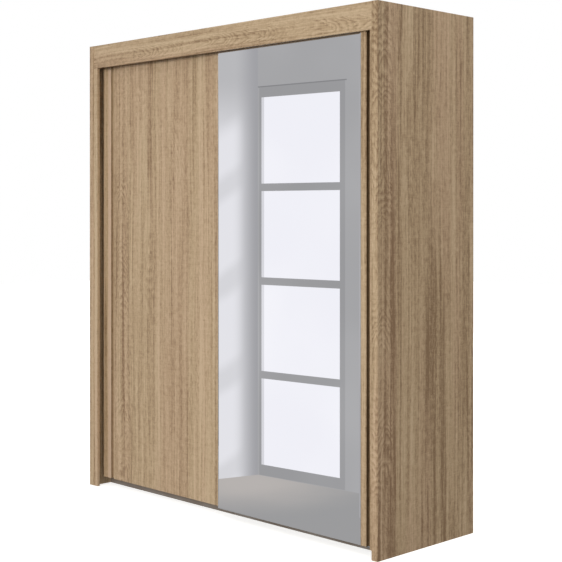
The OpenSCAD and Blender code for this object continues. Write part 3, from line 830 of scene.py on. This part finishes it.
class WARDROBE_OT_rollers(bpy.types.Operator):
    """Makes the grooved rollers with sunk webs and ribs"""

    bl_idname = "wardrobe.rollers"
    bl_label = "Rollers"

    def execute(self, context):
        look = context.scene.wardrobe_finish
        nylon = moulded("roller_nylon", look.pale_moulding, 0.36, grit=1400.0)
        for node in NODES:
            if "_roller_" in node:
                self.roller(node, nylon)
        return {"FINISHED"}

    def roller(self, node, material):
        low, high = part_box(node)
        middle = (low + high) / 2
        radius = (high.x - low.x) / 2
        width = high.y - low.y
        bore = radius * 0.183
        hub = radius * 0.40
        rim = radius * 0.78
        sunk = width * 0.16
        ease = radius * 0.03
        groove = radius * 0.165
        lip = radius * 1.02
        side = [(bore, 0), (hub, 0), (hub, sunk), (rim, sunk), (rim, 0)]
        side += [(radius - ease, 0), (radius, ease)]
        arc = []
        arc_steps = 8
        for i in range(arc_steps + 1):
            angle = math.pi * i / arc_steps
            height = width / 2 - groove * math.cos(angle)
            arc.append((min(radius, lip - groove * math.sin(angle)), height))
        profile = side + arc + [(r, width - h) for r, h in reversed(side)]
        shape = bmesh.new()
        turn = axis_turn(Vector((middle.x, low.y, middle.z)), Vector((0, 1, 0)))
        hollow(shape, turn, profile, sides=48)
        self.ribs(shape, turn, hub, rim, sunk, width)
        thing = piece("turned_" + node, shape, material, node)
        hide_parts(node)

    def ribs(self, shape, turn, hub, rim, sunk, width):
        """Six low ribs on each side of the web."""
        half = 0.0005
        for i in range(6):
            spin = turn @ Matrix.Rotation(i * math.pi / 3, 4, "Z")
            for base, top in ((sunk, sunk * 0.35), (width - sunk, width - sunk * 0.35)):
                ends = [(hub * 0.98, -half), (rim * 1.02, -half), (rim * 1.02, half), (hub * 0.98, half)]
                loops = [[shape.verts.new(spin @ Vector((x, y, z))) for x, y in ends] for z in (base, top)]
                skin(shape, loops)


class WARDROBE_OT_seal(bpy.types.Operator):
    """Makes the brush seal: a backing strip and two rows of short tufts"""

    bl_idname = "wardrobe.seal"
    bl_label = "Brush seal"

    def execute(self, context):
        look = context.scene.wardrobe_finish
        low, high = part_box("mirror_brush_seal")
        shape = bmesh.new()
        backing = 0.0012
        most_lean = 0.0007
        uneven = 0.0004
        block(shape, low, Vector((high.x, low.y + backing, high.z)))
        pitch = 0.003
        count = int((high.z - low.z) / pitch)
        for row in range(2):
            x = low.x + (high.x - low.x) * (0.3 + 0.4 * row)
            for i in range(count):
                z = low.z + pitch * (i + 0.5)
                lean = math.sin(i * 12.9898 + row * 78.233) * most_lean
                reach = high.y - low.y - uneven * (1 + math.sin(i * 4.7 + row))
                self.tuft(shape, x, low.y + backing * 0.5, z, lean, reach)
        thing = piece("pile_seal", shape, soft_pile(look), "mirror_brush_seal", smooth=False)
        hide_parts("mirror_brush_seal")
        return {"FINISHED"}

    def tuft(self, shape, x, y, z, lean, reach):
        """One tuft: a square root that narrows to a leaning tip."""
        end = y + reach - 0.0006
        half_w = 0.0008
        half_t = 0.0011
        root = [(-half_w, -half_t), (half_w, -half_t), (half_w, half_t), (-half_w, half_t)]
        first = [shape.verts.new((x + u, y, z + v)) for u, v in root]
        second = [shape.verts.new((x + u * 0.6 + lean, end, z + v * 0.55 + lean)) for u, v in root]
        skin(shape, [first, second])


class WARDROBE_OT_feet(bpy.types.Operator):
    """Makes the two screw feet: a domed pad, a threaded stud, a hexagon nut and a flange"""

    bl_idname = "wardrobe.feet"
    bl_label = "Feet"

    def execute(self, context):
        look = context.scene.wardrobe_finish
        shape = bmesh.new()
        for low, high in solids("levelling_feet"):
            self.foot(shape, low, high)
        plastic = moulded("foot_moulding", look.dark_moulding, 0.5)
        thing = piece("screw_feet", shape, plastic, "levelling_feet")
        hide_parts("levelling_feet")
        return {"FINISHED"}

    def foot(self, shape, low, high):
        middle = (low + high) / 2
        radius = (high.x - low.x) / 2
        tall = high.z - low.z
        pad = radius * 0.4
        turn = Matrix.Translation((middle.x, middle.y, low.z))
        stud = radius * 0.28
        profile = [
            (radius * 0.9, 0), (radius * 0.98, pad * 0.12), (radius, pad * 0.3), (radius, pad * 0.62),
            (radius * 0.94, pad * 0.8), (radius * 0.6, pad), (stud, pad),
        ]
        pitch = 0.0015
        flange = 0.004
        nut = 0.005
        thread_end = tall - flange - nut
        turns = int((thread_end - pad) / pitch)
        for i in range(turns):
            profile.append((stud * 0.86, pad + pitch * (i + 0.5)))
            profile.append((stud, pad + pitch * (i + 1)))
        profile += [(stud, tall - flange), (radius * 0.8, tall - flange), (radius * 0.8, tall)]
        turned(shape, turn, profile, sides=32)
        chamfer = 0.0006
        turned(shape, turn @ Matrix.Translation((0, 0, thread_end)), [
            (stud * 1.5, 0), (stud * 1.65, chamfer), (stud * 1.65, nut - chamfer), (stud * 1.5, nut),
        ], sides=6)


class WARDROBE_OT_studio(bpy.types.Operator):
    """Builds the floor, the lights, the room that the mirror sees and the camera"""

    bl_idname = "wardrobe.studio"
    bl_label = "Studio"

    def execute(self, context):
        scene = context.scene
        studio = scene.wardrobe_studio
        self.camera(scene, studio)
        self.surround(scene, studio)
        self.floor(studio)
        self.lamps(studio)
        self.room(studio)
        scene.view_settings.view_transform = "Standard"
        return {"FINISHED"}

    def camera(self, scene, studio):
        data = bpy.data.cameras.new("camera")
        data.lens = studio.lens
        data.shift_x, data.shift_y = studio.shift
        data.dof.use_dof = False
        eye = bpy.data.objects.new("camera", data)
        eye.location = studio.eye
        eye.rotation_euler = (math.pi / 2 - studio.tilt, 0, studio.turn)
        scene.collection.objects.link(eye)
        scene.camera = eye

    def surround(self, scene, studio):
        """A sky that looks white to the camera, and whose light is stronger from above than below."""
        world = bpy.data.worlds.new("surround")
        world.use_nodes = True
        scene.world = world
        world.node_tree.nodes.clear()
        net = Net(world.node_tree)
        up = net.split(net.node("ShaderNodeTexCoord", out="Generated"))[2]
        level = net.step(up, -0.25, 0.25, studio.sky_below, studio.sky)
        fill = net.node("ShaderNodeBackground", sockets={"Color": (1.0, 0.972, 0.955), "Strength": level})
        seen = net.node("ShaderNodeBackground", sockets={"Color": (1, 1, 1), "Strength": 1.0})
        direct = net.node("ShaderNodeLightPath", out="Is Camera Ray")
        shown = net.node("ShaderNodeMixShader", sockets={0: direct, 1: fill, 2: seen})
        net.node("ShaderNodeOutputWorld", sockets={"Surface": shown})

    def sheet(self, name, corners, material):
        """A staged flat sheet through its corners."""
        mesh = bpy.data.meshes.new(name)
        mesh.from_pydata(corners, [], [tuple(range(len(corners)))])
        mesh.materials.append(material)
        thing = bpy.data.objects.new(name, mesh)
        bpy.context.scene.collection.objects.link(thing)
        return thing

    def floor(self, studio):
        net = Finish("studio_floor")
        cloud = net.noise(net.scaled(net.place(), (1.3, 1.3, 1.3)), detail=3.0)
        tint = net.blend(cloud * 0.5, studio.floor_tone, times(studio.floor_tone, 0.97))
        material = net.set(
            Base_Color=tint, Roughness=0.85, Specular_IOR_Level=0.15,
            Emission_Color=tint, Emission_Strength=studio.floor_glow,
        )
        half = studio.floor_span / 2
        corners = [(-half, -half, 0), (half, -half, 0), (half, half, 0), (-half, half, 0)]
        ground = self.sheet("studio_floor", corners, material)
        ground.visible_glossy = False
        ground.visible_diffuse = False

    def lamps(self, studio):
        self.lamp("key_light", (2.3, -8.4, 2.8), (0.0, -0.3, 1.0), 2.5, studio.key_power)
        self.lamp("side_light", (3.6, 0.5, 3.0), (0.9, 0.0, 1.3), 2.0, studio.side_power)
        self.lamp("rear_light", (-3.0, 7.0, 2.6), (0.0, 0.3, 1.0), 3.0, studio.rear_power)

    def lamp(self, name, place, target, span, power):
        data = bpy.data.lights.new(name, "AREA")
        data.shape = "SQUARE"
        data.size = span
        data.energy = power
        thing = bpy.data.objects.new(name, data)
        thing.location = place
        aim = Vector(target) - Vector(place)
        thing.rotation_euler = aim.to_track_quat("-Z", "Y").to_euler()
        thing.visible_glossy = False
        bpy.context.scene.collection.objects.link(thing)

    def lit(self, net, shade):
        """A surface that shows only its own light."""
        return net.set(
            Base_Color=(0, 0, 0), Specular_IOR_Level=0.0, Emission_Color=shade, Emission_Strength=1.0
        )

    def glow(self, name, low, high):
        """A lit surface that drifts from low to high."""
        net = Finish(name)
        drift = net.noise(net.scaled(net.place(), (0.9, 0.9, 0.9)), detail=2.0)
        return self.lit(net, net.blend(net.step(drift, 0.35, 0.65), low, high))

    def room(self, studio):
        """The room that the mirror shows: a window wall, a pale side wall and a grey floor.
        Only reflections see it."""
        low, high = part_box("mirror_glass")
        eye = Vector(studio.eye)
        ghost = Vector((eye.x, 2 * low.y - eye.y, eye.z))
        ahead = Vector((-math.sin(studio.turn), -math.cos(studio.turn), 0))
        aside = Vector((math.cos(studio.turn), -math.sin(studio.turn), 0))
        middle = (low + high) / 2
        depth = (middle - ghost).dot(ahead) + studio.room_reach
        origin = ghost + ahead * depth
        origin.z = 0

        def spot(side, height, back=0.0):
            return tuple(origin + aside * side + Vector((0, 0, height)) - ahead * back)

        def along(run):
            """A place along the window wall, which turns towards the mirror from the corner."""
            side, back = ROOM_CORNER
            return side + run, back + run * ROOM_SLANT

        def panel(name, left, right, bottom, top, material, proud=0.0):
            corners = []
            for run, height in ((left, bottom), (right, bottom), (right, top), (left, top)):
                side, back = along(run)
                corners.append(spot(side, height, back + proud))
            self.only_reflected(self.sheet(name, corners, material))

        ground = -0.625
        ceiling = 4.5
        sill = -0.54
        pane_step = 0.685
        pane_height = 0.63
        wall = self.glow("room_wall", (0.42, 0.42, 0.43), (0.47, 0.47, 0.48))
        bars = self.glow("room_window_frame", (0.36, 0.36, 0.37), (0.41, 0.41, 0.42))
        panes = self.glow("room_window_pane", (0.98, 0.98, 1.04), (1.02, 1.02, 1.07))
        line = self.glow("room_window_groove", (0.27, 0.27, 0.28), (0.31, 0.31, 0.32))
        # Painted highlight: a bright strip down the left side of each pane stands in for light on the
        # frame's inner edge.
        reveal_highlight = self.glow("room_window_reveal_highlight", (0.74, 0.74, 0.78), (0.82, 0.82, 0.86))
        panel("room_back_wall", 0.0, 5.0, ground, ceiling, wall)
        pane_count = 4
        pane_left = 0.045
        pane_right = 0.565
        frame_proud = 0.01
        pane_proud = 0.02
        head = sill + pane_count * pane_step + 0.02
        panel("room_window_frame", 0.01, 0.600, sill - 0.08, head, bars, frame_proud)
        panel("room_window_groove", 0.0, 0.610, head, head + 0.009, line, frame_proud)
        for i in range(pane_count):
            bottom = sill + i * pane_step
            top = bottom + pane_height
            # Painted highlight strip beside each pane.
            panel(f"room_window_reveal_highlight_{i + 1}", 0.026, pane_left, bottom, top, reveal_highlight, pane_proud)
            panel(f"room_window_pane_{i + 1}", pane_left, pane_right, bottom, top, panes, pane_proud)
        self.side_wall(spot, ground, ceiling)
        self.ground(spot, ground)

    def ground(self, spot, height):
        """The grey floor of the room, palest in the corner beside the window, where a pool of the window's
        light is painted.
        """
        net = Finish("room_floor")
        x, y = net.split(net.place())[:2]
        corner = Vector(spot(0.0, height, 0.25))
        away = ((x - corner.x) ** 2 + (y - corner.y) ** 2) ** 0.5
        drift = net.noise(net.scaled(net.place(), (1.6, 1.6, 1.6)), detail=2.0)
        # Painted light: the floor is paler near the window's corner.
        level = net.step(away + (drift - 0.5) * 0.3, 0.1, 1.0)
        shade = net.blend(level, (0.53, 0.50, 0.48), (0.37, 0.37, 0.375))
        material = self.lit(net, shade)
        reach = 8
        near = 12
        far = -0.5
        corners = [
            spot(-reach, height, near), spot(reach, height, near),
            spot(reach, height, far), spot(-reach, height, far),
        ]
        self.only_reflected(self.sheet("room_floor", corners, material))

    def side_wall(self, spot, ground, ceiling):
        """The pale wall beside the window. The window's light falls across it in soft patches, painted on;
        painted shade makes it darker towards the ceiling and in the corner by the window.
        """
        net = Finish("room_side_wall")
        x, y, z = net.split(net.place())
        start = Vector(spot(ROOM_CORNER[0], 0, ROOM_CORNER[1]))
        end = Vector(spot(-1.5, 0, 0.75))
        way = (end - start).normalized()
        run = (x - start.x) * way.x + (y - start.y) * way.y
        drift = net.noise(net.scaled(net.place(), (2.2, 2.2, 2.2)), detail=2.0)
        slant = z + run * 0.55 + (drift - 0.5) * 0.10
        patch = net.node("ShaderNodeMath", {"operation": "PINGPONG"}, {0: slant + 0.44, 1: 0.345})
        sunny = net.step(patch, 0.03, 0.14) * net.step(run, 0.10, 0.22)
        sunny = sunny * net.step(slant, 1.95, 2.15, 1.0, 0.0)
        # Painted shade: the wall darkens towards the ceiling.
        plaster_and_shade = net.blend(net.step(z, 1.8, 2.3), (0.75, 0.75, 0.78), (0.54, 0.54, 0.555))
        # Painted shade in the corner beside the window.
        shade = net.blend(net.step(run, 0.0, 0.20), (0.40, 0.40, 0.42), plaster_and_shade)
        shade = net.blend(sunny * 0.9, shade, (0.88, 0.88, 0.92))
        material = self.lit(net, shade)
        places = ((end, ground), (start, ground), (start, ceiling), (end, ceiling))
        corners = [tuple(place + Vector((0, 0, height))) for place, height in places]
        self.only_reflected(self.sheet("room_side_wall", corners, material))

    def only_reflected(self, thing):
        thing.visible_camera = False
        thing.visible_diffuse = False
        thing.visible_transmission = False
        thing.visible_shadow = False


class WARDROBE_PT_panel(bpy.types.Panel):
    """Lists the wardrobe's operators and settings"""

    bl_label = "Wardrobe"
    bl_idname = "WARDROBE_PT_panel"
    bl_space_type = "VIEW_3D"
    bl_region_type = "UI"
    bl_category = "Wardrobe"

    def draw(self, context):
        for operator in STEPS:
            self.layout.operator(operator.bl_idname)
        for group in (context.scene.wardrobe_finish, context.scene.wardrobe_studio):
            box = self.layout.box()
            for key in group.__annotations__:
                box.prop(group, key)


STEPS = (
    WARDROBE_OT_boards,
    WARDROBE_OT_mirror,
    WARDROBE_OT_metalwork,
    WARDROBE_OT_plastics,
    WARDROBE_OT_screws,
    WARDROBE_OT_rollers,
    WARDROBE_OT_seal,
    WARDROBE_OT_feet,
    WARDROBE_OT_studio,
)
CLASSES = (WardrobeFinish, WardrobeStudio, *STEPS, WARDROBE_PT_panel)


def register():
    for item in CLASSES:
        bpy.utils.register_class(item)
    bpy.types.Scene.wardrobe_finish = PointerProperty(type=WardrobeFinish)
    bpy.types.Scene.wardrobe_studio = PointerProperty(type=WardrobeStudio)


def unregister():
    del bpy.types.Scene.wardrobe_studio
    del bpy.types.Scene.wardrobe_finish
    for item in reversed(CLASSES):
        bpy.utils.unregister_class(item)


def main():
    register()
    for step in STEPS:
        group, name = step.bl_idname.split(".")
        getattr(getattr(bpy.ops, group), name)()


if __name__ == "__main__":
    main()
